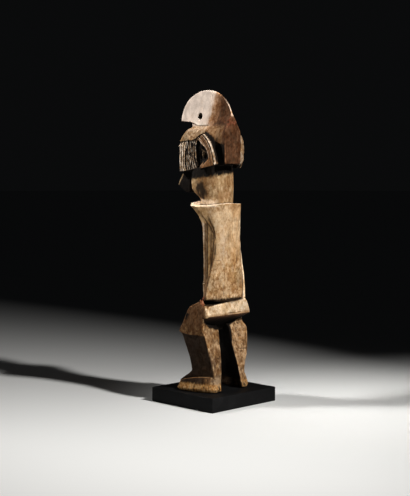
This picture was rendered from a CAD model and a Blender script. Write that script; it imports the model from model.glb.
# The looks of a standing wooden figure with a tall crest, on a flat black plinth.
# Blender works in metres and the carving below in millimetres, in one frame: +Z is up,
# the figure faces -Y, its left side is +X and its back is +Y.

import math

import bmesh
import bpy
import numpy as np
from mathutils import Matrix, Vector


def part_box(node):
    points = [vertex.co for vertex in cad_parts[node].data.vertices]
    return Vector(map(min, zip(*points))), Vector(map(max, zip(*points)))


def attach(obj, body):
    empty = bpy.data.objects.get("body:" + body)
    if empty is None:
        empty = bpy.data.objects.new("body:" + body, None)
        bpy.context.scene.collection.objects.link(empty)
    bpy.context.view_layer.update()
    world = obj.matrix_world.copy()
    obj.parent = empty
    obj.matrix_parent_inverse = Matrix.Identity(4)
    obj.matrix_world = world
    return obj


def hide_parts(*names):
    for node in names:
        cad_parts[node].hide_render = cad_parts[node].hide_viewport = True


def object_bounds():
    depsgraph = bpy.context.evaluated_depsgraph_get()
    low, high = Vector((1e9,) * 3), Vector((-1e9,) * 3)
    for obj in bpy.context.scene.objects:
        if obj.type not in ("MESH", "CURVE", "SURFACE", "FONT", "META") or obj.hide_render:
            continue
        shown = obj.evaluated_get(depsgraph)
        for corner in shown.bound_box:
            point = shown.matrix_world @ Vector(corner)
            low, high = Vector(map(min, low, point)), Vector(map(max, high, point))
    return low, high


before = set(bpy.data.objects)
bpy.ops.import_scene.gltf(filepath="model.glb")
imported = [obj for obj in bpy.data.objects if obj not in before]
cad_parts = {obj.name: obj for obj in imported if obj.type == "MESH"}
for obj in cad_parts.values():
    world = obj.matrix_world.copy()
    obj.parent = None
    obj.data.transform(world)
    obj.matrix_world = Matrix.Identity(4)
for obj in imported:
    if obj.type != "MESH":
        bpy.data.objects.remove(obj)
cad_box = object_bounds()

MM = 0.001

# Heights of the figure in millimetres, up from its soles
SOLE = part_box("figure")[0].z / MM
ANKLE = SOLE + 26
KNEE = SOLE + 68
SEAT = SOLE + 94
HIP = SOLE + 110
ELBOW = SOLE + 124
SHOULDER = SOLE + 230
JAW = SOLE + 270
CAP = JAW + 37
CROWN = SOLE + 325
CREST_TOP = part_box("figure")[1].z / MM

# Fineness of the carved skin
SKIN_GRID = 0.6
SKIN_TRIANGLES = 190000

# Parts of the figure, in millimetres
EAR_OUT = 27.5
CHEEK_HALF = 17
CREST_HOLE = (-18.5, 357.5)
HOLE_RADIUS = 3.5
RIB_SPACING = 4.4


# Helpers for the carving

def smooth(low, high, value):
    """Runs from 0 at low to 1 at high, with soft ends."""
    t = np.clip((value - low) / (high - low), 0, 1)
    return t * t * (3 - 2 * t)


def bump(value, middle, width):
    """A soft bump of height 1 around middle."""
    return np.exp(-((value - middle) / width) ** 2)


def within(value, low, high, soft):
    """1 between low and high, with soft ends outside them."""
    return smooth(low - soft, low, value) * (1 - smooth(high, high + soft, value))


def noise(points, size, seed):
    """Smooth noise from -1 to 1 whose features are about size across."""
    period = 32
    lattice = np.random.default_rng(seed).uniform(-1, 1, (period,) * 3)
    scaled = points / size
    cell = np.floor(scaled).astype(int)
    t = scaled - cell
    t = t * t * (3 - 2 * t)
    total = np.zeros(len(points))
    for corner in np.ndindex(2, 2, 2):
        weight = np.prod(np.where(corner, t, 1 - t), axis=1)
        i, j, k = ((cell + corner) % period).T
        total += weight * lattice[i, j, k]
    return total


def path_distance(across, up, path):
    """Distance of each point from a line through the path's points, seen flat."""
    best = np.full(len(across), 1e9)
    for (x0, y0), (x1, y1) in zip(path, path[1:]):
        dx, dy = x1 - x0, y1 - y0
        t = np.clip(((across - x0) * dx + (up - y0) * dy) / (dx * dx + dy * dy), 0, 1)
        best = np.minimum(best, np.hypot(across - x0 - t * dx, up - y0 - t * dy))
    return best


def bezier(start, pull_a, pull_b, end, steps=16):
    """Points along a curve from start to end, drawn towards the two pulls."""
    points = []
    for i in range(steps + 1):
        t = i / steps
        weights = ((1 - t) ** 3, 3 * t * (1 - t) ** 2, 3 * t * t * (1 - t), t ** 3)
        corners = (start, pull_a, pull_b, end)
        points.append(tuple(sum(w * c[k] for w, c in zip(weights, corners)) for k in (0, 1)))
    return points


class Skin:
    """A mesh as arrays: points in millimetres, normals, and which points are neighbours."""

    def __init__(self, mesh):
        self.mesh = mesh
        self.count = len(mesh.vertices)
        flat = np.empty(self.count * 3, np.float32)
        mesh.vertices.foreach_get("co", flat)
        self.points = flat.reshape(-1, 3).astype(float) / MM
        ends = np.empty(len(mesh.edges) * 2, np.int32)
        mesh.edges.foreach_get("vertices", ends)
        self.a, self.b = ends.reshape(-1, 2).T
        self.degree = np.bincount(ends, minlength=self.count).astype(float)
        self.refresh()

    def refresh(self):
        """Puts the points back in the mesh and reads the new normals."""
        self.mesh.vertices.foreach_set("co", (self.points * MM).astype(np.float32).ravel())
        self.mesh.update()
        flat = np.empty(self.count * 3, np.float32)
        self.mesh.vertex_normals.foreach_get("vector", flat)
        self.normals = flat.reshape(-1, 3).astype(float)
        self.x, self.y, self.z = self.points.T

    def spread(self, values, rounds):
        """Each value becomes the mean of its neighbours', this many times."""
        columns = values.reshape(self.count, -1)
        for _ in range(rounds):
            sums = [
                np.bincount(self.a, v[self.b], self.count) + np.bincount(self.b, v[self.a], self.count)
                for v in columns.T
            ]
            columns = np.stack(sums, 1) / self.degree[:, None]
        return columns.reshape(values.shape)

    def push(self, amount):
        """Moves each point out along its normal by that many millimetres."""
        self.points += self.normals * amount[:, None]
        self.refresh()

    def shift(self, direction, amount):
        """Moves each point that many millimetres along one direction."""
        self.points += np.outer(amount, direction)
        self.refresh()

    def wear(self, rounds, strength, edge):
        """Evens the skin out. Edges sharper than edge millimetres keep their shape."""
        for _ in range(rounds):
            move = self.spread(self.points, 1) - self.points
            height = np.abs((move * self.normals).sum(1))
            self.points += move * (strength / (1 + (height / edge) ** 2))[:, None]
        self.refresh()

    def soften(self, mask, rounds):
        """Blends the skin where the mask is 1."""
        for _ in range(rounds):
            self.points += (self.spread(self.points, 1) - self.points) * mask[:, None] * 0.6
        self.refresh()

    def store(self, name, values, kind="FLOAT"):
        """Keeps one value, or four, for each point under a name that a material can read."""
        attribute = self.mesh.attributes.get(name) or self.mesh.attributes.new(name, kind, "POINT")
        field = "color" if kind == "FLOAT_COLOR" else "value"
        attribute.data.foreach_set(field, values.astype(np.float32).ravel())


def put(name, mesh):
    """New object at the origin that shows a mesh."""
    piece = bpy.data.objects.new(name, mesh)
    bpy.context.scene.collection.objects.link(piece)
    return piece


def merged_copy(node):
    """Copy of a frame node's mesh with its loose triangles joined."""
    cloth = bmesh.new()
    cloth.from_mesh(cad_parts[node].data)
    bmesh.ops.remove_doubles(cloth, verts=cloth.verts, dist=1e-6)
    mesh = bpy.data.meshes.new(node)
    cloth.to_mesh(mesh)
    cloth.free()
    return mesh


def settled(piece):
    """The piece's mesh with its modifiers worked in, and no modifier left."""
    bpy.context.view_layer.update()
    seen = piece.evaluated_get(bpy.context.evaluated_depsgraph_get())
    mesh = bpy.data.meshes.new_from_object(seen)
    piece.modifiers.clear()
    piece.data = mesh
    return mesh


# Head

def ear_rims():
    """Outer edge of each ear, seen from the side: the left one is round, the right one squarer."""
    base = JAW + 5
    left = bezier((8, JAW + 47), (17, JAW + 41), (25, JAW + 32), (28.6, base + 5))
    right = bezier((8, JAW + 47), (24, JAW + 50), (27, JAW + 43), (24.8, base + 9))
    return {1: left + [(28, base)], -1: right + [(19.5, base)]}


def in_ear_hollow(skin):
    """1 in the hollow of each ear: upright in front, and bowed like a D behind."""
    heights = [JAW + 6, JAW + 12, JAW + 19, JAW + 26, JAW + 34, JAW + 39]
    rear = np.interp(skin.z, heights, [-4, 2, 7, 9.4, 3.5, -5])
    inside = smooth(0.8, -0.8, skin.y - rear) * smooth(-9, -6.5, skin.y)
    return inside * within(skin.z, JAW + 6, JAW + 38, 1) * within(np.abs(skin.x), 10, 26, 1)


def ear_ridges():
    """Raised lines on each ear, seen from the side: one over the hollow, one slanting under it."""
    over = bezier((-5, JAW + 41), (3, JAW + 39), (12, JAW + 33), (13.4, JAW + 23))
    under = [(14.4, JAW + 15.1), (-0.5, JAW + 4.4)]
    return over, under


def carve_ears(skin):
    """A cut along each ear's edge, fine lines beside it, the hollow, and the ridges round it."""
    for side, rim in ear_rims().items():
        facing_out = smooth(0.3, 0.8, skin.normals[:, 0] * side)
        on_face = smooth(EAR_OUT - 3, EAR_OUT - 1, skin.x * side) * facing_out
        inward = path_distance(skin.y, skin.z, rim)
        lines = 1.1 * bump(inward, 1.5, 0.6) + 0.35 * bump(inward, 4.4, 0.45)
        lines += 0.6 * bump(inward, 6.8, 0.55) + 0.35 * bump(inward, 9.0, 0.4)
        skin.push(-lines * on_face)
        this_side = skin.x * side > 0
        skin.shift((-side, 0, 0), 3.6 * in_ear_hollow(skin) * this_side)
        inside = within(skin.x * side, 14, 26, 1) * (skin.z > JAW + 3)
        for ridge in ear_ridges():
            near = path_distance(skin.y, skin.z, ridge)
            skin.shift((side, 0, 0), 1.6 * bump(near, 0, 1.0) * inside)


def cap_edge(y):
    """Height of the cap's lower edge along the side of the head."""
    return np.interp(y, [-50, -40, -26, -18, -12, -6, 2], [CAP + 0.4, CAP + 1, CAP + 2, CAP + 2, CAP + 4, CAP + 8, CAP + 11])


def carve_cap(skin):
    """The cap stands a little proud of the cheeks, with faint lines along its edge."""
    edge = cap_edge(skin.y)
    on_skull = (skin.y < 6) * within(skin.z, CAP - 6, CROWN - 2, 3) * (np.abs(skin.x) < 23)
    above = smooth(-0.5, 0.5, skin.z - edge)
    groove = bump(skin.z - edge, -0.6, 0.7)
    lines = np.abs(np.sin((skin.z - edge) * math.pi / 2.4)) ** 0.5 - 1
    fade = 1 - smooth(4, 13, skin.z - edge)
    skin.push((0.7 * above - 0.9 * groove + 0.22 * lines * above * fade) * on_skull)


def deep_cut():
    """The long cut that parts the front of each cheek from the rest, seen from the side."""
    return [(-25.4, CAP + 2), (-28, JAW + 30.5), (-30.6, JAW + 24), (-31.6, JAW + 14), (-31.4, JAW + 4)]


def carve_cheeks(skin):
    """One cut on each cheek that is deeper than the rest."""
    far = path_distance(skin.y, skin.z, deep_cut())
    skin.push(-1.8 * bump(far, 0, 1.2) * smooth(0.4, 0.8, np.abs(skin.normals[:, 0])))


def blend_hair(skin):
    """The crest runs down into the back of the head without a step."""
    behind = smooth(0, 8, skin.y) * within(skin.z, CROWN - 12, CROWN + 12, 6) * (skin.y < 27)
    inner = 1 - smooth(16, 19, np.abs(skin.x))
    skin.soften(behind * inner, 80)


def carve_crest(skin):
    """A worn rim round the crest's hole."""
    y, z = CREST_HOLE
    around = np.hypot(skin.y - y, skin.z - z)
    skin.push(-0.5 * bump(around, HOLE_RADIUS, 0.9) * (skin.z > CROWN + 3))


# Face: a plain calm one, on the usual thirds of a head

def carve_face(skin):
    """Eyes under level brows, a straight nose, a quiet mouth and a rounded chin."""
    chin = JAW + 1
    brow = JAW + 35
    third = (brow - chin) / 3
    front = smooth(-40, -46, skin.y) * (skin.z < CAP) * (skin.z > JAW - 1)
    for side in (-1, 1):
        x = skin.x * side
        eye_z = chin + third * 2.05
        socket = np.hypot((x - 8.2) / 6.2, (skin.z - eye_z) / 4.0)
        skin.shift((0, 1, 0), 0.9 * bump(socket, 0.95, 0.28) * front)
        x = skin.x * side
        lid = np.abs(skin.z - eye_z + 0.35 * (1 - ((x - 8.2) / 4.2) ** 2))
        skin.shift((0, 1, 0), 0.55 * bump(lid, 0, 0.45) * within(x, 4.6, 11.8, 0.6) * front)
        x = skin.x * side
        nostril = np.hypot(x - 2.2, skin.z - chin - third * 1.13)
        skin.shift((0, 1, 0), 0.9 * bump(nostril, 0, 0.8) * front)
        x = skin.x * side
        fold = path_distance(x, skin.z, [(4.6, chin + third * 1.35), (7.2, chin + third * 0.55)])
        skin.shift((0, 1, 0), 0.35 * bump(fold, 0, 0.9) * front)
    parting = np.abs(skin.z - chin - third * 0.52)
    skin.shift((0, 1, 0), 0.9 * bump(parting, 0, 0.5) * within(skin.x, -4.8, 4.8, 1) * front)


def shape_beard(skin):
    """Strands down the front of the beard."""
    on_beard = (skin.y < -30) * within(skin.z, SOLE + 243, JAW - 1, 1.5)
    strands = np.abs(np.sin(skin.x * math.pi / 2.6)) ** 0.5 - 1
    skin.push(0.7 * strands * on_beard * smooth(0.1, 0.5, -skin.normals[:, 1]))
    flank = smooth(0.3, 0.7, np.abs(skin.normals[:, 0])) * on_beard
    strands = np.abs(np.sin((skin.y + 0.5 * skin.z) * math.pi / 2.8)) ** 0.5 - 1
    skin.push(0.5 * strands * flank)


# Trunk, hips and limbs

def slab_edge(x):
    """Height of the slab's lower edge across the back."""
    return HIP + 0.2 + 4.4 * (x / 35) ** 2


def band_top(x):
    """Height of the upper edge of the band round the hips."""
    return HIP - 0.2 - 4 * x / 37.7


def over_band(skin):
    """1 in the wedge between the slab and the band, on the figure's left."""
    ragged = 0.9 * noise(skin.points * (1, 0, 0), 1.7, 4)
    under_slab = smooth(0.5, -0.3, skin.z - slab_edge(skin.x) + ragged)
    on_band = smooth(-0.4, 0.5, skin.z - band_top(skin.x))
    return under_slab * on_band * smooth(0, 4, skin.x) * smooth(31, 29, skin.x) * smooth(6, 10, skin.y)


def soften_flanks(skin):
    """The flat of the back rolls over softly to the flanks."""
    high = within(skin.z, HIP + 12, SHOULDER - 6, 8) * (skin.y > 14)
    skin.soften(bump(np.abs(skin.x), 20, 9) * high * smooth(0.2, 0.5, skin.normals[:, 1]), 90)


def carve_back(skin):
    """Dark line beside the right flank, scratches, and a ragged recess under the slab."""
    on_back = smooth(0.5, 0.85, skin.normals[:, 1])
    line = path_distance(skin.x, skin.z, [
        (-19.4, SHOULDER - 21), (-23.2, ELBOW + 36), (-25, ELBOW + 17), (-25.2, HIP + 5),
    ])
    skin.push(-0.9 * bump(line, 0, 0.7) * on_back * (skin.z > HIP))
    scratches = [
        [(27, ELBOW + 38), (14, ELBOW + 37.6)],
        [(-15.7, KNEE - 18.4), (-32, KNEE - 20.2)],
    ]
    for scratch in scratches:
        far = path_distance(skin.x, skin.z, scratch)
        skin.push(-0.55 * bump(far, 0, 0.5) * on_back)
    skin.shift((0, -1, 0), 5 * over_band(skin))


def carve_checks(skin):
    """Drying cracks that run with the grain, and a long one under the band of the hips."""
    cracks = [
        [(-6, SHOULDER - 8), (-5, SHOULDER - 30), (-6.4, SHOULDER - 46)],
        [(9, ELBOW + 30), (8.2, ELBOW + 12), (9.4, HIP + 6)],
        [(-14, ELBOW + 52), (-13.2, ELBOW + 34)],
        [(2, ELBOW + 74), (2.8, ELBOW + 60)],
    ]
    on_back = smooth(0.5, 0.85, skin.normals[:, 1])
    for crack in cracks:
        far = path_distance(skin.x + 0.4 * noise(skin.points, 4, 11), skin.z, crack)
        skin.push(-0.5 * bump(far, 0, 0.42) * on_back)
    band = path_distance(skin.x, skin.z, [(2, SEAT + 1.8), (-9, SEAT + 1.4), (-20, SEAT + 1.8)])
    skin.push(-0.9 * bump(band, 0, 0.55) * on_back)


def sole_notches(skin):
    """1 in the upright knife notches round the edge of each foot."""
    upright = smooth(0.2, 0.6, np.hypot(skin.normals[:, 0], skin.normals[:, 1]))
    low = within(skin.z, SOLE, SOLE + 6, 3) * upright
    return np.clip(1.6 * noise(skin.points * (1, 1, 0.1), 1.5, 8), 0, 1) * low


def carve_limbs(skin):
    """Fingers on the belly, toes on the feet, and notches along the soles."""
    for side in (-1, 1):
        x = skin.x * side
        hand = within(x, 0.5, 9, 1) * within(skin.z, ELBOW, ELBOW + 14, 1) * (skin.y < -6)
        fingers = np.abs(np.sin((skin.z - ELBOW + 0.3 * x) * math.pi / 2.7)) ** 0.5 - 1
        skin.push(0.7 * fingers * hand)
        x = skin.x * side
        toes = smooth(-20, -25, skin.y) * (skin.z < SOLE + 14) * within(x, 20, 48, 1)
        gaps = np.abs(np.sin((x - 21 + 0.2 * skin.y) * math.pi / 4.4)) ** 0.4 - 1
        skin.push(1.0 * gaps * toes)
    skin.push(-0.8 * sole_notches(skin))


def rough_out(skin):
    """Slow unevenness of hand work, all over."""
    uneven = 0.35 * noise(skin.points, 16, 1) + 0.2 * noise(skin.points, 7, 2)
    skin.push(uneven * smooth(SOLE, SOLE + 5, skin.z))


# Lines that repeat over a surface

def rib_fields(skin):
    """How far each point lies across the ribs of the cheeks, and where the ribs are."""
    side = np.abs(skin.x)
    middle = JAW + 19 + 6 * smooth(-30, -8, skin.y)
    rise = (skin.z - middle) / 22
    bow = 3 + 3.5 * smooth(-30, -8, skin.y)
    travel = skin.y + bow * (1 - rise ** 2)
    around = smooth(-40, -46, skin.y)
    travel = travel * (1 - around) + around * (-46 - (CHEEK_HALF - side) * 0.9)
    below_cap = smooth(0.3, -0.8, skin.z - cap_edge(skin.y) + 0.8)
    ahead_of_ear = 1 - smooth(-5, -1, skin.y)
    off_centre = smooth(11.5, 13.5, side)
    above_jaw = smooth(JAW + 0.5, JAW + 2.5, skin.z - 9 * smooth(-46, 33, skin.y))
    mask = below_cap * ahead_of_ear * off_centre * above_jaw * (skin.y > -48.5)
    return travel, mask


def add(tree, kind, sockets=None, **settings):
    """New node in a tree. sockets maps input names or numbers to values or to other outputs."""
    node = tree.nodes.new(kind)
    for key, value in settings.items():
        setattr(node, key, value)
    for key, value in (sockets or {}).items():
        if isinstance(value, bpy.types.NodeSocket):
            tree.links.new(value, node.inputs[key])
        else:
            node.inputs[key].default_value = value
    return node


def work_out(tree, operation, first, second=0.0, third=0.0, clamp=False):
    """Result of one sum on numbers."""
    node = add(tree, "ShaderNodeMath", {0: first, 1: second, 2: third}, operation=operation)
    node.use_clamp = clamp
    return node.outputs[0]


def rib_wave(tree, travel, spacing, place):
    """Height across the ribs: 0 in each groove and 1 on each rib. The place is in millimetres."""
    slow = add(tree, "ShaderNodeVectorMath", {0: place, 1: (1, 1, 0.5)}, operation="MULTIPLY").outputs[0]
    wander = add(tree, "ShaderNodeTexNoise", {"Vector": slow, "Scale": 0.22, "Detail": 2.0}).outputs[0]
    across = work_out(tree, "DIVIDE", travel, spacing)
    across = work_out(tree, "MULTIPLY_ADD", wander, 1.1, across)
    return work_out(tree, "ABSOLUTE", work_out(tree, "SINE", work_out(tree, "MULTIPLY", across, math.pi)))


def knife_tree(material):
    """Geometry nodes that cut ribs, small facets, grain and pits into a skin."""
    tree = bpy.data.node_groups.new("knife work", "GeometryNodeTree")
    face = tree.interface
    face.new_socket("Geometry", in_out="INPUT", socket_type="NodeSocketGeometry")
    sizes = {
        "Rib spacing": RIB_SPACING, "Rib depth": 1.4,
        "Facet size": 5.5, "Facet depth": 0.3,
        "Grain depth": 0.04, "Pit size": 2.2, "Pit depth": 0.4,
    }
    for name, value in sizes.items():
        socket = face.new_socket(name, in_out="INPUT", socket_type="NodeSocketFloat")
        socket.default_value = value
    face.new_socket("Material", in_out="INPUT", socket_type="NodeSocketMaterial")
    face.new_socket("Geometry", in_out="OUTPUT", socket_type="NodeSocketGeometry")
    given = add(tree, "NodeGroupInput").outputs
    place = add(tree, "GeometryNodeInputPosition").outputs[0]
    place = add(tree, "ShaderNodeVectorMath", {0: place, 3: 1 / MM}, operation="SCALE").outputs[0]

    def field(name):
        return add(tree, "GeometryNodeInputNamedAttribute", {0: name}, data_type="FLOAT").outputs[0]

    def stretched(scale):
        return add(tree, "ShaderNodeVectorMath", {0: place, 1: scale}, operation="MULTIPLY").outputs[0]

    wave = rib_wave(tree, field("rib_travel"), given["Rib spacing"], place)
    valley = work_out(tree, "SUBTRACT", 1.0, work_out(tree, "POWER", wave, 0.55))
    ribs = work_out(tree, "MULTIPLY", valley, field("rib_mask"))
    ribs = work_out(tree, "MULTIPLY", ribs, given["Rib depth"])

    facet_scale = work_out(tree, "DIVIDE", 1.0, given["Facet size"])
    facets = add(
        tree, "ShaderNodeTexVoronoi",
        {"Vector": stretched((1, 1, 0.55)), "Scale": facet_scale, "Smoothness": 0.25},
        feature="SMOOTH_F1",
    ).outputs["Distance"]
    facets = work_out(tree, "MULTIPLY", facets, given["Facet depth"])
    facets = work_out(tree, "MULTIPLY", facets, field("knife_mask"))

    grain = add(
        tree, "ShaderNodeTexNoise",
        {"Vector": stretched((1, 1, 0.07)), "Scale": 0.75, "Detail": 2.0},
    ).outputs[0]
    grain = work_out(tree, "MULTIPLY", work_out(tree, "SUBTRACT", grain, 0.5), given["Grain depth"])

    pit_scale = work_out(tree, "DIVIDE", 1.0, given["Pit size"])
    pits = add(tree, "ShaderNodeTexVoronoi", {"Vector": stretched((1, 1, 0.6)), "Scale": pit_scale})
    lot = add(tree, "ShaderNodeSeparateXYZ", {0: pits.outputs["Color"]}).outputs[0]
    chosen = work_out(tree, "GREATER_THAN", lot, 0.8)
    bowl = work_out(tree, "SUBTRACT", 1.0, work_out(tree, "MULTIPLY", pits.outputs["Distance"], 2.6), clamp=True)
    pits = work_out(tree, "MULTIPLY", work_out(tree, "MULTIPLY", bowl, chosen), given["Pit depth"])
    pits = work_out(tree, "MULTIPLY", pits, field("knife_mask"))

    height = work_out(tree, "SUBTRACT", work_out(tree, "ADD", facets, grain), work_out(tree, "ADD", ribs, pits))
    height = work_out(tree, "MULTIPLY", height, MM)
    normal = add(tree, "GeometryNodeInputNormal").outputs[0]
    offset = add(tree, "ShaderNodeVectorMath", {0: normal, 3: height}, operation="SCALE").outputs[0]
    moved = add(tree, "GeometryNodeSetPosition", {"Geometry": given["Geometry"], "Offset": offset})
    real = add(tree, "GeometryNodeRealizeInstances", {0: moved.outputs[0]})
    painted = add(tree, "GeometryNodeSetMaterial", {"Geometry": real.outputs[0], "Material": given["Material"]})
    add(tree, "NodeGroupOutput", {0: painted.outputs[0]})
    return tree


def cut_with(piece, tree, material):
    """Runs the tree on a piece and keeps the result as its mesh."""
    modifier = piece.modifiers.new("knife work", "NODES")
    modifier.node_group = tree
    wanted = {item.name: item.identifier for item in tree.interface.items_tree if item.in_out == "INPUT"}
    modifier[wanted["Material"]] = material
    return settled(piece)


# Colours, laid on the skin as a carver's patina lies: one over the other

CLAY = (0.375, 0.25, 0.137)
BISCUIT = (0.53, 0.385, 0.24)
CREAM = (0.62, 0.46, 0.295)
BONE = (0.56, 0.455, 0.36)
SAND = (0.34, 0.24, 0.15)
OCHRE = (0.32, 0.205, 0.10)
RUSSET = (0.23, 0.125, 0.055)
LOAM = (0.17, 0.095, 0.043)
BARK = (0.095, 0.05, 0.022)
RUST = (0.075, 0.031, 0.013)
UMBER = (0.028, 0.016, 0.008)
SOOT = (0.0045, 0.003, 0.0022)
SHADE = (0.016, 0.009, 0.0045)
WAX = (0.52, 0.435, 0.375)
CHALK = (0.86, 0.78, 0.67)
RED_CLAY = (0.22, 0.07, 0.033)


def lay(tone, share, colour):
    """The tones with one colour laid over them."""
    return tone + share[:, None] * (np.array(colour) - tone)


class Skin_view:
    """What the colours go by: place, facing, and noise of several sizes."""

    def __init__(self, skin):
        self.x, self.y, self.z = skin.points.T
        self.nx, self.ny, self.nz = skin.normals.T
        self.clouds = noise(skin.points, 9, 21)
        self.spots = noise(skin.points, 3.2, 22)
        self.streaks = noise(skin.points * (1, 1, 0.16), 1.6, 23)
        self.specks = noise(skin.points * (1, 1, 0.8), 1.7, 24)
        self.slant = 0.7 * (self.y - self.x)
        self.back = smooth(0.2, 0.7, self.ny)
        self.left = smooth(0.3, 0.8, self.nx)
        self.right = smooth(0.3, 0.8, -self.nx)
        self.up = smooth(0.5, 0.9, self.nz)


def mottle(tone, share, at, dark, pale):
    """Breaks a surface up into small dark and pale flecks."""
    tone = lay(tone, share * smooth(0.05, 0.4, at.specks + 0.6 * at.spots), dark)
    return lay(tone, 0.8 * share * smooth(0.15, 0.5, -at.specks - 0.5 * at.spots), pale)


def under_head(at):
    """1 above the soft edge of the black under the head."""
    return smooth(-0.8, 0.8, at.z - JAW + 4.9 - 0.16 * at.slant - 0.8 * at.spots)


def tone_neck(tone, at):
    """The neck: ochre, stained dark on the left and black under the head."""
    neck = within(at.z, SHOULDER - 1, JAW + 4, 2) * smooth(0.6, 0.3, at.nz)
    tone = lay(tone, neck, (0.275, 0.18, 0.09))
    tone = mottle(tone, 0.55 * neck, at, LOAM, CREAM)
    tone = lay(tone, 0.6 * neck * smooth(0, 0.4, at.clouds), RUSSET)
    stain = np.hypot((at.y - 1) / 8.5, (at.z - SHOULDER - 17) / 12) + 0.4 * at.spots + 0.2 * at.clouds
    tone = lay(tone, 0.7 * smooth(1.6, 1.0, stain) * (at.x > 0) * neck, LOAM)
    tone = lay(tone, 0.95 * smooth(1.25, 0.65, stain) * (at.x > 0) * neck, (0.013, 0.008, 0.0045))
    tone = lay(tone, under_head(at) * neck * (np.abs(at.y) < 27), SOOT)
    flare = smooth(SHOULDER + 5.4, SHOULDER + 4, at.z + 0.12 * at.slant) * smooth(7, 1, at.slant) * (at.x > 0)
    return lay(tone, 0.9 * flare * neck, (0.6, 0.48, 0.36))


def lit_edge(z):
    """Where the pale back ends and the dark left flank begins, along the slant."""
    heights = [HIP - 2, ELBOW + 2, ELBOW + 13, ELBOW + 23, ELBOW + 33, ELBOW + 44, SHOULDER - 47,
               SHOULDER - 31, SHOULDER - 24, SHOULDER - 16, SHOULDER - 5]
    slants = [-11, -8.5, -5.5, -3.2, -1.2, 2.6, 3.2, 2.4, -0.7, -5.5, -8]
    return sum(np.interp(z + step, heights, slants) for step in (-6, 0, 6)) / 3


def tone_back(tone, at):
    """The flat back: pale above, and more and more blotched towards the hips."""
    trunk = within(at.z, SEAT, SHOULDER + 4, 2)
    low = smooth(SHOULDER - 60, HIP + 20, at.z)
    tone = lay(tone, trunk, CLAY)
    pale = smooth(ELBOW + 44, SHOULDER - 30, at.z) * smooth(-0.5, 0.1, 0.25 * at.clouds - (at.x + 6) * -0.03)
    tone = lay(tone, trunk * 0.75 * pale, (0.475, 0.352, 0.222))
    tone = lay(tone, trunk * 0.4 * smooth(0.1, 0.3, -at.clouds - 0.3 * at.spots), BISCUIT)
    ochre = within(at.slant, 23, 31, 3) * smooth(-0.5, 0.2, at.streaks + 0.6 * at.clouds) * at.back
    tone = lay(tone, 0.4 * trunk * ochre, (0.45, 0.25, 0.10))
    scraped = within(at.slant, 9.5, 15, 3) * within(at.z, ELBOW + 32, SHOULDER - 26, 6) * at.back
    tone = lay(tone, 0.4 * scraped * smooth(0, 0.3, at.specks + 0.5 * at.clouds), (0.60, 0.51, 0.40))
    tone = lay(tone, 0.3 * scraped * smooth(0.1, 0.4, at.spots - at.specks), RUSSET)
    blotch = smooth(0.12, 0.3, at.clouds + 0.45 * at.spots)
    tone = lay(tone, trunk * (0.17 + 0.34 * low) * blotch, RUSSET)
    tone = mottle(tone, trunk * (0.2 + 0.3 * low), at, RUSSET, CREAM)
    grey = smooth(1, 0.5, np.hypot((at.x + 16) / 8, (at.z - ELBOW - 14) / 16) + 0.3 * at.clouds)
    tone = lay(tone, 0.55 * grey * trunk * at.back, (0.25, 0.19, 0.11))
    bottom = smooth(HIP + 14, HIP + 6, at.z + 2 * at.spots) * trunk * at.back
    tone = mottle(tone, 0.8 * bottom, at, LOAM, CREAM)
    rubbed = within(at.z, SHOULDER - 6, SHOULDER + 1, 1.5) * at.back * smooth(-0.1, 0.3, at.specks)
    tone = lay(tone, 0.75 * rubbed, RUSSET)
    hem = HIP + np.interp(at.x, [-20, -2, 24], [4.2, 4.2, 2.4]) + 0.7 * at.spots
    return lay(tone, trunk * smooth(0.7, -0.7, at.z - hem) * (at.z > HIP - 4) * (at.x > -22), SOOT)


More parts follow.
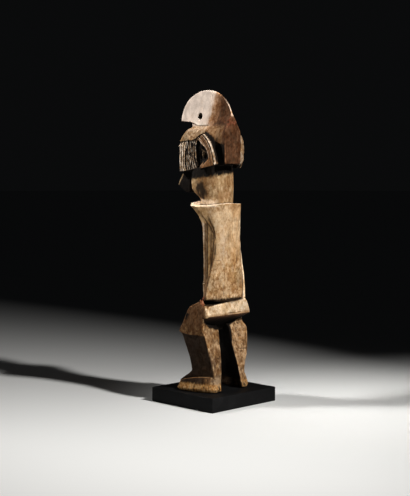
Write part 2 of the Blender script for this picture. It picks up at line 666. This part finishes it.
def tone_flanks(tone, at):
    """The scooped left flank with the arm's dark and ochre lines, and the right flank's edge."""
    flank = within(at.z, HIP - 2, SHOULDER - 2, 1.5) * smooth(0.8, -0.8, at.slant - lit_edge(at.z) + 0.7 * at.spots)
    flank *= (at.x > 0) * (at.y > -12)
    tone = lay(tone, flank, (0.225, 0.142, 0.068))
    tone = lay(tone, flank * within(at.z, SHOULDER - 48, SHOULDER - 8, 8), (0.45, 0.295, 0.152))
    arm = flank * within(at.z, HIP, SHOULDER - 24, 3)
    tone = lay(tone, 0.5 * arm * smooth(0, 0.5, at.streaks), BARK)
    tone = lay(tone, 0.6 * arm * bump(at.slant, -3.2, 0.9), BARK)
    tone = lay(tone, 0.9 * arm * bump(at.slant, -5.6, 1.1) * smooth(-0.7, -0.2, at.streaks), (0.5, 0.32, 0.15))
    tone = lay(tone, 0.95 * arm * bump(at.slant, -7.9, 1.1), (0.03, 0.017, 0.008))
    tone = lay(tone, 0.9 * arm * smooth(-8.6, -9.4, at.slant), (0.095, 0.056, 0.028))
    tone = lay(tone, 0.9 * arm * smooth(-11.2, -12, at.slant + 0.3 * at.spots), (0.5, 0.39, 0.28))
    brow = flank * within(at.z, SHOULDER - 41, SHOULDER - 16, 4)
    tone = lay(tone, brow * smooth(-4, -1.5, at.slant - lit_edge(at.z)), (0.06, 0.034, 0.015))
    line = flank * smooth(-2.6, -1.2, at.slant - lit_edge(at.z)) * (at.z < SHOULDER - 30)
    tone = lay(tone, 0.85 * line * smooth(-0.6, 0, at.spots), (0.02, 0.011, 0.006))

    right = within(at.z, HIP + 2, SHOULDER - 18, 5) * (at.ny > -0.3) * (at.x < -15)
    edge = np.interp(at.z, [ELBOW - 2, ELBOW + 24, ELBOW + 36, SHOULDER - 21], [-24.2, -23.4, -21.6, -18.4])
    tone = lay(tone, right * bump(at.x, edge, 0.9) * smooth(-0.9, -0.3, at.streaks), BARK)
    tone = lay(tone, 0.95 * right * smooth(-0.9, -1.7, at.x - edge), (0.79, 0.625, 0.43))
    trunk = within(at.z, HIP, SHOULDER + 4, 2)
    tone = lay(tone, 0.6 * trunk * smooth(-0.2, -0.7, at.ny), RUSSET)
    tone = lay(tone, 0.6 * trunk * at.right * (at.y < 16), LOAM)
    shoulder = at.up * within(at.z, SHOULDER - 4, SHOULDER + 5, 1)
    return lay(tone, shoulder, (0.78, 0.65, 0.51))


def crescent(x):
    """Height of the buttocks' lower edge across the back."""
    return np.interp(x, [-28, -5.5, 13.4, 27.3, 36.6, 38], [SEAT - 9, SEAT - 17, SEAT - 19, SEAT - 15, SEAT - 7, SEAT - 4])


def tone_hips(tone, at):
    """The pale band, black above and under it."""
    hips = within(at.z, KNEE + 4, HIP + 8, 2)
    end = -8.4 + 0.12 * (at.z - HIP)
    band = at.back * within(at.z, SEAT + 0.5, HIP + 1, 1) * smooth(-0.8, 0.8, at.slant - end + 0.6 * at.spots)
    brink = HIP + np.interp(at.x, [-21, -3, 36], [0.4, -0.7, -4.4])
    band *= (at.y > 17) * smooth(0.9, 0.5, at.nz) * smooth(0.6, -0.6, at.z - brink + 0.5 * at.spots)
    under = (at.z < SEAT + 1) * smooth(-0.8, 0.8, at.z - crescent(at.x) + 0.5 * at.spots) * (at.y > -14)
    under *= smooth(0.3, -0.3, np.abs(at.x) - 36)
    tone = lay(tone, hips * under, SOOT)
    rosy = under * hips * smooth(SEAT - 8, SEAT - 2, at.z) * at.back
    tone = lay(tone, 0.8 * rosy, (0.05, 0.024, 0.012))
    gap = within(at.z, HIP - 6, HIP + 4, 1) * within(at.y, 8, 30, 1) * within(at.x, -20, 35, 1)
    gap *= smooth(31, 29, at.x)
    tone = lay(tone, gap, SHADE)
    ledge = within(at.z, HIP - 9, HIP + 5, 1) * at.up * within(at.y, 5, 24, 1) * within(at.x, -26, 35, 1)
    tone = lay(tone, ledge * smooth(31, 29, at.x), SHADE)
    tone = lay(tone, band, (0.53, 0.41, 0.28))
    tone = mottle(tone, 0.3 * band, at, CLAY, CHALK)
    tone = lay(tone, 0.4 * band * smooth(0.1, 0.35, at.clouds + 0.3 * at.spots), CLAY)
    return lay(tone, 0.75 * band * smooth(SEAT + 3.5, SEAT + 1.5, at.z + 1.5 * at.spots), RUSSET)


def tone_legs(tone, at):
    """Thighs and shins: flecked behind, dark outside and black between them."""
    legs = within(at.z, SOLE - 2, SEAT - 2, 1)
    tone = lay(tone, legs, LOAM)
    low = smooth(KNEE - 6, ANKLE + 6, at.z)
    rear = legs * at.back
    tone = lay(tone, rear * (at.x < 0), (0.33, 0.21, 0.115))
    tone = lay(tone, rear * (at.x > 0), (0.21, 0.125, 0.062))
    tone = lay(tone, rear * low * (at.x > 0), (0.098, 0.06, 0.034))
    tone = mottle(tone, 0.75 * rear, at, (0.075, 0.039, 0.017), (0.45, 0.31, 0.18))
    tone = lay(tone, 0.5 * rear * smooth(0.15, 0.35, at.clouds + 0.3 * at.spots), LOAM)
    tone = lay(tone, 0.6 * rear * within(at.z, SOLE + 2, SOLE + 16, 4) * (at.slant > 0) * (at.x > 0), SAND)
    outward = at.nx * np.sign(at.x)
    outside = smooth(0.25, 0.7, outward) * (1 - at.back)
    thigh = within(at.z, KNEE, HIP + 6, 1) * smooth(0.1, 0.5, outward) * smooth(24, 20, at.y) * (np.abs(at.x) > 16)
    thigh *= smooth(0.7, 0.3, at.ny)
    tone = lay(tone, thigh, (0.105, 0.052, 0.023))
    tone = mottle(tone, 0.4 * thigh, at, UMBER, LOAM)
    knee = thigh * smooth(KNEE + 18, KNEE + 6, at.z + 2 * at.clouds) * smooth(18, 8, at.y)
    tone = mottle(tone, 0.7 * knee, at, BARK, (0.27, 0.175, 0.085))
    shin = within(at.z, SOLE + 9, KNEE + 1, 1) * outside
    tone = lay(tone, shin, (0.022, 0.0135, 0.0085))
    tone = lay(tone, 0.35 * shin * smooth(0.1, 0.5, at.clouds + 0.4 * at.spots), (0.05, 0.027, 0.014))
    inner = legs * smooth(0.05, 0.35, -outward) * (at.z < SEAT - 2)
    fork = legs * (np.abs(at.x) < 10) * within(at.z, KNEE - 8, SEAT - 9, 1)
    return lay(tone, np.maximum(inner, fork), SOOT)


def tone_feet(tone, at):
    """Feet: dark on top, ochre and flecked round their edge. A red smear marks the left hip."""
    feet = within(at.z, SOLE - 2, SOLE + 10, 2) * (1 - at.back * smooth(3, 7, at.z - SOLE))
    tone = lay(tone, feet, UMBER)
    tone = lay(tone, 0.8 * feet * at.up * (at.x > 14), (0.13, 0.078, 0.036))
    upright = smooth(0.3, 0.7, np.hypot(at.nx, at.ny))
    rim = within(at.z, SOLE + 1, SOLE + 9, 1.5) * upright * smooth(0, 0.4, at.nx * np.sign(at.x) + 0.3 * at.ny)
    tone = lay(tone, 0.95 * rim, (0.43, 0.245, 0.095))
    tone = mottle(tone, 0.4 * rim, at, RUSSET, (0.62, 0.46, 0.27))
    patch = np.hypot((at.slant + 13.5) / 3.2, (at.z - HIP - 1.5) / 5) + 0.3 * at.spots
    return lay(tone, 0.8 * smooth(1.2, 0.6, patch) * (at.x > 18) * (at.y > -4), RED_CLAY)


def tone_face(tone, at):
    """Cheeks and cap."""
    head = smooth(JAW - 1, JAW + 1, at.z)
    tone = lay(tone, head, SAND)
    cheek = head * smooth(0.6, -0.6, at.z - cap_edge(at.y)) * (at.y < -1) * (np.abs(at.x) < 24)
    tone = lay(tone, cheek, (0.215, 0.164, 0.121))
    y, z = zip(*reversed(deep_cut()))
    ahead = smooth(0.5, -0.5, at.y - np.interp(at.z, z, y))
    tone = lay(tone, 0.88 * cheek * ahead, BONE)
    tone = mottle(tone, 0.5 * cheek, at, BARK, CHALK)
    tone = lay(tone, cheek * bump(path_distance(at.y, at.z, deep_cut()), 0, 1.4), SOOT)
    cap = head * smooth(-0.4, 0.4, at.z - cap_edge(at.y)) * (at.y < 6)
    tone = mottle(tone, 0.65 * cap, at, BARK, CREAM)
    tone = lay(tone, 0.25 * cap, LOAM)
    tone = lay(tone, 0.75 * cap * smooth(0, 0.35, at.clouds + 0.5 * at.specks), (0.17, 0.12, 0.068))
    return lay(tone, 0.6 * cap * smooth(CROWN - 7, CROWN - 1, at.z), (0.46, 0.34, 0.25))


def tone_crest(tone, at):
    """The crest: waxy and pale in front, going tan and then nearly black towards the nape."""
    crest = smooth(CROWN + 2, CROWN + 4, at.z)
    hair = np.maximum(crest, smooth(3, 5, at.y) * smooth(CAP, CAP + 4, at.z) * (np.abs(at.x) < 21))
    crease = np.interp(at.z, (CROWN + 9, CREST_TOP - 2), (0.9, 6.5))
    run = at.y - crease + 1.6 * at.streaks + 1.2 * at.clouds
    tone = lay(tone, crest, WAX)
    tone = lay(tone, 0.4 * crest * smooth(0.15, 0.5, at.clouds + 0.3 * at.spots), (0.48, 0.37, 0.29))
    tone = lay(tone, 0.45 * hair * smooth(-9, -1, run), (0.42, 0.29, 0.21))
    tone = lay(tone, hair * smooth(-2, 3, run), (0.33, 0.195, 0.115))
    tone = lay(tone, hair * smooth(3, 10, run + 2 * at.streaks), (0.165, 0.08, 0.038))
    tone = lay(tone, 0.9 * hair * smooth(8, 15, run + 2.5 * at.streaks), (0.065, 0.028, 0.012))
    tone = lay(tone, 0.6 * hair * smooth(6, 12, run) * smooth(0.05, 0.4, at.streaks + 0.4 * at.specks), UMBER)
    ridge = crest * smooth(0.3, 0.6, at.ny) * smooth(2.2, 1.4, np.abs(at.x)) * (at.y > 14)
    pale = smooth(CREST_TOP - 6, CREST_TOP - 26, at.z) * smooth(CROWN + 12, CROWN + 15, at.z)
    tone = lay(tone, 0.85 * ridge * pale, (0.68, 0.52, 0.41))
    red = within(at.z, CROWN - 4, CROWN + 8, 6) * smooth(-0.2, 0.5, at.spots + at.specks) * smooth(24, 30, at.y)
    tone = lay(tone, 0.45 * red * hair, (0.2, 0.055, 0.03))
    facet = path_distance(at.y, at.z, [(-31.5, CROWN + 8.7), (-20, CROWN + 3.4), (-6, CROWN + 3)])
    tone = lay(tone, 0.6 * bump(facet, 0, 1.3) * crest * (at.y < -4), CHALK)
    bore = np.hypot(at.y - CREST_HOLE[0], at.z - CREST_HOLE[1])
    tone = lay(tone, smooth(HOLE_RADIUS + 0.8, HOLE_RADIUS + 0.2, bore), SOOT)
    neck = within(at.z, SHOULDER, JAW, 2)
    smooth_back = 0.45 * at.back * within(at.z, ELBOW + 48, SHOULDER + 2, 22)
    waxed = crest * smooth(2, -3, run) * smooth(HOLE_RADIUS + 0.3, HOLE_RADIUS + 1, bore)
    band = 0.3 * at.back * within(at.z, SEAT, HIP, 2)
    return tone, np.maximum(waxed, np.maximum(0.15 * neck + band, smooth_back))


def in_slot(at):
    """1 in the deep slot between each ear and the back of the head, up to the hair."""
    roof = np.interp(at.y, [6, 8.8, 14.8, 20.1, 33], [CAP + 12.7, CAP + 11.2, CAP + 7.6, CAP - 1.2, CAP - 3])
    slot = smooth(0.8, -0.8, at.z - roof + 0.6 * at.spots) * smooth(JAW + 1, JAW + 2, at.z)
    outer = np.where(at.x > 0, EAR_OUT - 2.4, 19.5)
    slot *= within(np.abs(at.x), 7, outer, 0.6) * smooth(2, 4, at.y)
    nape = smooth(0.5, 0.75, at.ny) * smooth(28, 30, at.y)
    return slot * (1 - nape)


def tone_nape(tone, at):
    """Back of the head, reddish dark brown, with the hair's tan lobe over each ear."""
    head = smooth(JAW, JAW + 1, at.z)
    rear = smooth(8, 10, at.y) * head * smooth(CROWN + 6, CROWN - 6, at.z) * (np.abs(at.x) < 21)
    tone = lay(tone, rear, (0.062, 0.026, 0.0115))
    tone = lay(tone, 0.7 * rear * smooth(-0.1, 0.4, at.streaks + 0.5 * at.clouds), (0.125, 0.06, 0.03))
    tone = lay(tone, 0.6 * rear * smooth(0, 0.4, at.specks + 0.5 * at.spots), UMBER)
    lobe = within(at.z, CAP - 4, CROWN, 3) * within(at.y, 4, 27, 2) * smooth(0.2, 0.6, np.abs(at.nx))
    lobe *= (np.abs(at.x) < 22)
    tone = lay(tone, 0.85 * lobe, (0.19, 0.11, 0.055))
    return lay(tone, in_slot(at), SOOT)


def tone_ears(tone, at):
    """Ears: a pale rim, a black cut, a red-brown band, pale ridges and a black hollow."""
    ears = smooth(19.5, 21, np.abs(at.x)) * within(at.z, JAW + 0.5, JAW + 48, 0.5) * (at.y > -4)
    ears = ears * (1 - in_slot(at))
    tone = lay(tone, ears, (0.235, 0.12, 0.06))
    tone = mottle(tone, 0.5 * ears, at, BARK, SAND)
    for side, rim in ear_rims().items():
        outer = smooth(EAR_OUT - 3, EAR_OUT - 1.5, at.x * side) * ears
        inward = path_distance(at.y, at.z, rim)
        worn = smooth(-0.7, 0.3, at.specks + 0.6 * at.clouds)
        tone = lay(tone, outer * smooth(1.5, 1.1, inward), (0.2, 0.145, 0.1))
        tone = lay(tone, worn * outer * smooth(1.2, 0.8, inward), (0.46, 0.37, 0.29))
        tone = lay(tone, outer * bump(inward, 1.9, 0.6), SOOT)
        tone = lay(tone, 0.8 * worn * outer * bump(inward, 3.1, 0.5), (0.45, 0.35, 0.26))
        tone = lay(tone, 0.8 * outer * bump(inward, 4.3, 0.45), SOOT)
        tone = lay(tone, 0.8 * outer * bump(inward, 6.8, 0.5), UMBER)
        tone = lay(tone, 0.6 * worn * outer * bump(inward, 7.9, 0.5), BONE)
    behind = (at.x < -19.5) * (at.x > -EAR_OUT) * (at.ny > 0.4) * within(at.z, JAW + 6, JAW + 46, 3) * (at.y > 8)
    tone = lay(tone, behind, (0.15, 0.098, 0.06))
    tone = mottle(tone, 0.4 * behind, at, LOAM, BISCUIT)
    return lay(tone, 0.7 * behind * bump(at.x + 0.5 * at.spots, -24, 1.1), (0.5, 0.4, 0.3))


def patina(skin):
    """Colour of each point with how waxed it is, and how black its cuts are rubbed."""
    at = Skin_view(skin)
    tone = np.tile(np.array(CLAY), (skin.count, 1))
    for layer in (tone_back, tone_flanks, tone_legs, tone_hips, tone_feet, tone_neck, tone_face):
        tone = layer(tone, at)
    tone, waxed = tone_crest(tone, at)
    tone = tone_ears(tone_nape(tone, at), at)
    tone = lay(tone, in_ear_hollow(skin), SOOT)
    in_ear = (np.abs(at.x) > 14) * (np.abs(at.x) < EAR_OUT + 1) * (at.z > JAW + 3)
    for ridge in ear_ridges():
        tone = lay(tone, 0.9 * bump(path_distance(at.y, at.z, ridge), 0, 0.9) * in_ear, BONE)
    light_piece = path_distance(at.y, at.z, [(-5.8, JAW + 29), (1.1, JAW + 24.3), (-2.4, JAW + 18.7)])
    tone = lay(tone, 0.75 * bump(light_piece, 0, 0.9) * in_ear, (0.4, 0.31, 0.23))
    head_under = smooth(2.2, 0.6, at.z - JAW - 9 * smooth(-46, 33, at.y)) * (at.z > JAW - 8)
    head_under *= np.maximum(under_head(at), smooth(-0.2, -0.5, at.nz))
    tone = lay(tone, head_under * (np.abs(at.x) < EAR_OUT - 1), SOOT)
    beard = (at.y < -30) * within(at.z, SOLE + 243, JAW - 1, 1.5)
    tone = lay(tone, beard, SOOT)
    spike = path_distance(at.y, at.z, [(-46.5, JAW - 3.6), (-49.3, JAW - 9.3), (-52.9, JAW - 15.7)])
    tone = lay(tone, 0.9 * bump(spike, 0, 0.8) * (at.x > 5) * (at.z < JAW), (0.3, 0.21, 0.12))
    tone = lay(tone, over_band(skin), SHADE)
    tone = lay(tone, 0.6 * sole_notches(skin), UMBER)
    tone *= 1 + 0.12 * at.spots[:, None] + 0.06 * at.streaks[:, None]
    ink = smooth(JAW - 1, JAW + 1, skin.z) * smooth(0.8, -0.8, skin.z - cap_edge(skin.y))
    ink = np.maximum(ink * (skin.y < 1), smooth(20, 22, np.abs(skin.x)) * (skin.z > JAW))
    return np.column_stack([tone.clip(0.002, 0.9), waxed.clip(0, 1)]), ink.clip(0, 1)


def relief(skin):
    """How deep in a cut, and how far out on an edge, each point lies."""
    fine = ((skin.points - skin.spread(skin.points, 5)) * skin.normals).sum(1)
    broad = ((skin.points - skin.spread(skin.points, 40)) * skin.normals).sum(1)
    hollow = np.clip(-fine / 0.22, 0, 1) * 0.6 + np.clip(-broad / 0.8, 0, 1) * 0.6
    ridge = np.clip(fine / 0.22, 0, 1) * 0.7 + np.clip(broad / 1.2, 0, 1) * 0.4
    return skin.spread(hollow, 1).clip(0, 1), skin.spread(ridge, 1).clip(0, 1)


# Materials

def texture(tree, kind, place, stretch, **sockets):
    """Texture node that reads a place, in metres, stretched along each axis. Scale is per metre."""
    scaled = add(tree, "ShaderNodeVectorMath", {0: place, 1: stretch}, operation="MULTIPLY").outputs[0]
    return add(tree, kind, {"Vector": scaled, **sockets})


def mix(tree, share, below, above, blend="MIX"):
    """One colour over another."""
    node = add(tree, "ShaderNodeMix", data_type="RGBA", blend_type=blend)
    for index, value in ((0, share), (6, below), (7, above)):
        if isinstance(value, bpy.types.NodeSocket):
            tree.links.new(value, node.inputs[index])
        else:
            node.inputs[index].default_value = value
    return node.outputs[2]


def between(tree, value, low, high):
    """A value turned into a share that is 0 at low and 1 at high."""
    sockets = {0: value, 1: low, 2: high, 3: 0.0, 4: 1.0}
    return add(tree, "ShaderNodeMapRange", sockets, interpolation_type="SMOOTHSTEP").outputs[0]


def blank(name):
    """New material with nothing but its shader. Gives the material, its tree and the shader."""
    material = bpy.data.materials.new(name)
    material.use_nodes = True
    tree = material.node_tree
    tree.nodes.clear()
    shader = add(tree, "ShaderNodeBsdfPrincipled")
    add(tree, "ShaderNodeOutputMaterial", {"Surface": shader.outputs[0]})
    return material, tree, shader


def scaled(tree, colour, share, low, high):
    """A colour made darker or lighter: times low where the share is 0, times high where it is 1."""
    factor = work_out(tree, "MULTIPLY_ADD", share, high - low, low)
    return add(tree, "ShaderNodeVectorMath", {0: colour, 3: factor}, operation="SCALE").outputs[0]


def cheek_lines(tree, place):
    """Black grooves between the ribs of the cheeks, broken up, and wider towards the ear."""
    travel = add(tree, "ShaderNodeAttribute", attribute_name="rib_travel").outputs["Fac"]
    on_cheek = add(tree, "ShaderNodeAttribute", attribute_name="rib_mask").outputs["Fac"]
    in_mm = add(tree, "ShaderNodeVectorMath", {0: place, 3: 1 / MM}, operation="SCALE").outputs[0]
    wave = rib_wave(tree, travel, RIB_SPACING, in_mm)
    breaks = texture(tree, "ShaderNodeTexNoise", place, (1, 1, 0.4), Scale=480, Detail=4).outputs[0]
    wave = work_out(tree, "ADD", wave, work_out(tree, "MULTIPLY_ADD", breaks, 2.4, -1.2))
    wave = work_out(tree, "SUBTRACT", wave, work_out(tree, "MULTIPLY", between(tree, travel, -28, -16), 0.32))
    groove = work_out(tree, "SUBTRACT", 1.0, between(tree, wave, 0.4, 0.72))
    ahead = work_out(tree, "MULTIPLY_ADD", between(tree, travel, -42, -28), 0.35, 0.65)
    return work_out(tree, "MULTIPLY", work_out(tree, "MULTIPLY", groove, ahead), on_cheek)


def carved_wood():
    """Old worn wood: the patina's colours, blotched and flecked, dark in cuts and pale on edges."""
    material, tree, shader = blank("carved wood")
    place = add(tree, "ShaderNodeTexCoord").outputs["Object"]
    tone = add(tree, "ShaderNodeAttribute", attribute_name="tone")
    hollow = add(tree, "ShaderNodeAttribute", attribute_name="hollow").outputs["Fac"]
    ridge = add(tree, "ShaderNodeAttribute", attribute_name="ridge").outputs["Fac"]
    ink = add(tree, "ShaderNodeAttribute", attribute_name="ink").outputs["Fac"]
    waxed = tone.outputs["Alpha"]
    bare = work_out(tree, "SUBTRACT", 1.0, waxed)

    clouds = texture(tree, "ShaderNodeTexNoise", place, (1, 1, 0.8), Scale=110, Detail=4, Roughness=0.6).outputs[0]
    blots = texture(tree, "ShaderNodeTexNoise", place, (1, 1, 0.8), Scale=95, Detail=7, Roughness=0.66).outputs[0]
    spots = texture(tree, "ShaderNodeTexNoise", place, (1, 1, 0.8), Scale=330, Detail=4, Roughness=0.65).outputs[0]
    streaks = texture(tree, "ShaderNodeTexNoise", place, (1, 1, 0.06), Scale=520, Detail=3).outputs[0]
    specks = texture(tree, "ShaderNodeTexNoise", place, (1, 1, 1), Scale=1300, Detail=2).outputs[0]

    colour = scaled(tree, tone.outputs["Color"], between(tree, clouds, 0.36, 0.64), 0.88, 1.16)
    blot = work_out(tree, "MULTIPLY", between(tree, blots, 0.5, 0.585), bare)
    colour = mix(tree, blot, colour, (0.76, 0.65, 0.5, 1), "MULTIPLY")
    spot = work_out(tree, "MULTIPLY", between(tree, spots, 0.44, 0.64), bare)
    colour = scaled(tree, colour, spot, 1.14, 1.0)
    colour = mix(tree, spot, colour, (0.66, 0.53, 0.39, 1), "MULTIPLY")
    streak = work_out(tree, "MULTIPLY", between(tree, streaks, 0.45, 0.66), bare)
    colour = scaled(tree, colour, streak, 1.01, 0.95)
    colour = scaled(tree, colour, between(tree, specks, 0.52, 0.72), 1.03, 0.78)
    colour = scaled(tree, colour, between(tree, ridge, 0.15, 0.8), 1.0, 1.3)
    brown_cut = work_out(tree, "MULTIPLY_ADD", waxed, -0.6, 0.85)
    brown_cut = work_out(tree, "MULTIPLY", between(tree, hollow, 0.1, 0.75), brown_cut)
    colour = mix(tree, brown_cut, colour, (*UMBER, 1), "DARKEN")
    rubbed = between(tree, spots, 0.36, 0.52)
    black_cut = work_out(tree, "MULTIPLY", between(tree, hollow, 0.05, 0.45), ink)
    black_cut = work_out(tree, "MULTIPLY", black_cut, rubbed)
    black_cut = work_out(tree, "MAXIMUM", black_cut, cheek_lines(tree, place))
    colour = mix(tree, black_cut, colour, (*SOOT, 1))
    tree.links.new(colour, shader.inputs["Base Color"])

    rough = work_out(tree, "MULTIPLY_ADD", spots, 0.2, 0.68)
    polish = work_out(tree, "MULTIPLY", work_out(tree, "POWER", waxed, 3.0), 0.36)
    rough = work_out(tree, "SUBTRACT", rough, polish)
    tree.links.new(rough, shader.inputs["Roughness"])
    shader.inputs["Specular IOR Level"].default_value = 0.08
    height = work_out(tree, "ADD", work_out(tree, "MULTIPLY", streaks, 0.5), specks)
    bumps = add(tree, "ShaderNodeBump", {"Height": height, "Strength": 0.35, "Distance": 0.0004})
    tree.links.new(bumps.outputs[0], shader.inputs["Normal"])
    return material


def black_paint():
    """Matte black paint, brushed on, a little dusty and rubbed."""
    material, tree, shader = blank("black paint")
    place = add(tree, "ShaderNodeTexCoord").outputs["Object"]
    dust = texture(tree, "ShaderNodeTexNoise", place, (1, 1, 1), Scale=60, Detail=5, Roughness=0.7).outputs[0]
    strokes = texture(tree, "ShaderNodeTexNoise", place, (1, 0.05, 1), Scale=700, Detail=2).outputs[0]
    colour = mix(tree, between(tree, dust, 0.45, 0.75), (0.004, 0.004, 0.0043, 1), (0.009, 0.009, 0.0095, 1))
    tree.links.new(colour, shader.inputs["Base Color"])
    rough = work_out(tree, "MULTIPLY_ADD", dust, 0.2, 0.5)
    tree.links.new(rough, shader.inputs["Roughness"])
    shader.inputs["Specular IOR Level"].default_value = 0.08
    bumps = add(tree, "ShaderNodeBump", {"Height": strokes, "Strength": 0.2, "Distance": 0.0002})
    tree.links.new(bumps.outputs[0], shader.inputs["Normal"])
    return material


# Pieces

def make_figure():
    """The carved figure: an even skin over the frame's solid, then carved from rough to fine."""
    piece = put("carved_figure", merged_copy("figure"))
    even = piece.modifiers.new("even skin", "REMESH")
    even.mode = "VOXEL"
    even.voxel_size = SKIN_GRID * MM
    settled(piece)
    skin = Skin(piece.data)
    skin.wear(14, 0.6, 0.03)
    blend_hair(skin)
    soften_flanks(skin)
    rough_out(skin)
    carve_ears(skin)
    carve_cap(skin)
    carve_cheeks(skin)
    carve_crest(skin)
    carve_face(skin)
    shape_beard(skin)
    carve_back(skin)
    carve_checks(skin)
    carve_limbs(skin)
    travel, mask = rib_fields(skin)
    skin.store("rib_travel", travel)
    skin.store("rib_mask", mask)
    bare = within(skin.z, SOLE + 3, CAP, 3) * (1 - mask)
    skin.store("knife_mask", bare)
    wood = carved_wood()
    skin = Skin(cut_with(piece, knife_tree(wood), wood))
    hollow, ridge = relief(skin)
    skin.store("hollow", hollow)
    skin.store("ridge", ridge)
    tone, ink = patina(skin)
    skin.store("tone", tone, "FLOAT_COLOR")
    skin.store("ink", ink)
    piece.data.attributes.remove(piece.data.attributes["knife_mask"])
    triangles = sum(len(face.vertices) - 2 for face in piece.data.polygons)
    thin = piece.modifiers.new("thin out", "DECIMATE")
    thin.ratio = SKIN_TRIANGLES / triangles
    settled(piece)
    piece.data.shade_smooth()
    return piece


def make_plinth():
    """The black board: finely rounded edges and faces that are not quite flat."""
    mesh = merged_copy("plinth")
    piece = put("plinth_board", mesh)
    form = bmesh.new()
    form.from_mesh(mesh)
    bmesh.ops.dissolve_limit(form, angle_limit=0.02, verts=form.verts, edges=form.edges)
    sharp = [edge for edge in form.edges if edge.calc_face_angle(0) > 0.3]
    bmesh.ops.bevel(form, geom=sharp, offset=0.2 * MM, segments=2, affect="EDGES", profile=0.6)
    form.to_mesh(mesh)
    form.free()
    mesh.materials.clear()
    mesh.materials.append(black_paint())
    mesh.shade_smooth()
    return piece


def make_floor(radius, height):
    """Plain pale floor."""
    mesh = bpy.data.meshes.new("floor")
    disc = bmesh.new()
    bmesh.ops.create_circle(disc, cap_ends=True, segments=96, radius=radius)
    bmesh.ops.translate(disc, verts=disc.verts, vec=(0, 0, height))
    disc.to_mesh(mesh)
    disc.free()
    material, tree, shader = blank("pale floor")
    shader.inputs["Base Color"].default_value = (0.75, 0.765, 0.77, 1)
    shader.inputs["Roughness"].default_value = 0.85
    mesh.materials.append(material)
    return put("floor", mesh)


# Camera and light

def make_camera():
    """Camera at the photograph's viewing angle: behind the figure, on its left."""
    bearing = math.radians(135.5)
    right = Vector((math.cos(bearing), math.sin(bearing), 0))
    level = Vector((-math.sin(bearing), math.cos(bearing), 0))
    distance = 1.5
    aside = 0.011
    eye = 0.3051
    tilt = math.radians(4.26)
    data = bpy.data.cameras.new("camera")
    data.sensor_width = 36
    data.lens = 1203 / 496 * data.sensor_width
    camera = bpy.data.objects.new("camera", data)
    camera.location = -level * distance - right * aside + Vector((0, 0, eye))
    look = level * math.cos(tilt) - Vector((0, 0, math.sin(tilt)))
    camera.rotation_euler = look.to_track_quat("-Z", "Y").to_euler()
    bpy.context.scene.collection.objects.link(camera)
    bpy.context.scene.camera = camera
    return right, level


def make_light(name, place, aim, size, power, colour, spread):
    """Soft square lamp that shines from one place towards another."""
    data = bpy.data.lights.new(name, "AREA")
    data.size = size
    data.energy = power
    data.color = colour
    data.spread = math.radians(spread)
    lamp = bpy.data.objects.new(name, data)
    lamp.location = place
    lamp.rotation_euler = (aim - place).to_track_quat("-Z", "Y").to_euler()
    lamp.visible_camera = False
    bpy.context.scene.collection.objects.link(lamp)


def light_studio(right, level):
    """A warm main light on the back, a narrow one on the head's left, and a weak one in front."""
    up = Vector((0, 0, 1))
    waist = up * 0.15
    head = up * 0.36
    main = waist + (right * 0.769 - level * 0.639) * 0.79 + up * 0.65
    make_light("main light", main, -right * 0.33 - level * 0.20, 0.06, 3.3, (1, 0.97, 0.93), 73.5)
    side = head - right * 0.87 + up * 0.78
    make_light("side light", side, head - up * 0.07, 0.2, 0.37, (1, 0.97, 0.93), 21)
    front = waist - right * 0.98 + level + up * 0.25
    make_light("front light", front, waist + up * 0.05, 0.4, 0.05, (1, 0.97, 0.94), 34)
    world = bpy.data.worlds.new("studio")
    world.use_nodes = True
    air = world.node_tree.nodes["Background"]
    air.inputs["Color"].default_value = (0.9, 0.95, 1, 1)
    air.inputs["Strength"].default_value = 0.0035
    bpy.context.scene.world = world
    bpy.context.scene.view_settings.view_transform = "Standard"


figure = make_figure()
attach(figure, "root")
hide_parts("figure")

plinth = make_plinth()
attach(plinth, "root")
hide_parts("plinth")

make_floor(10.0, cad_box[0].z)
light_studio(*make_camera())
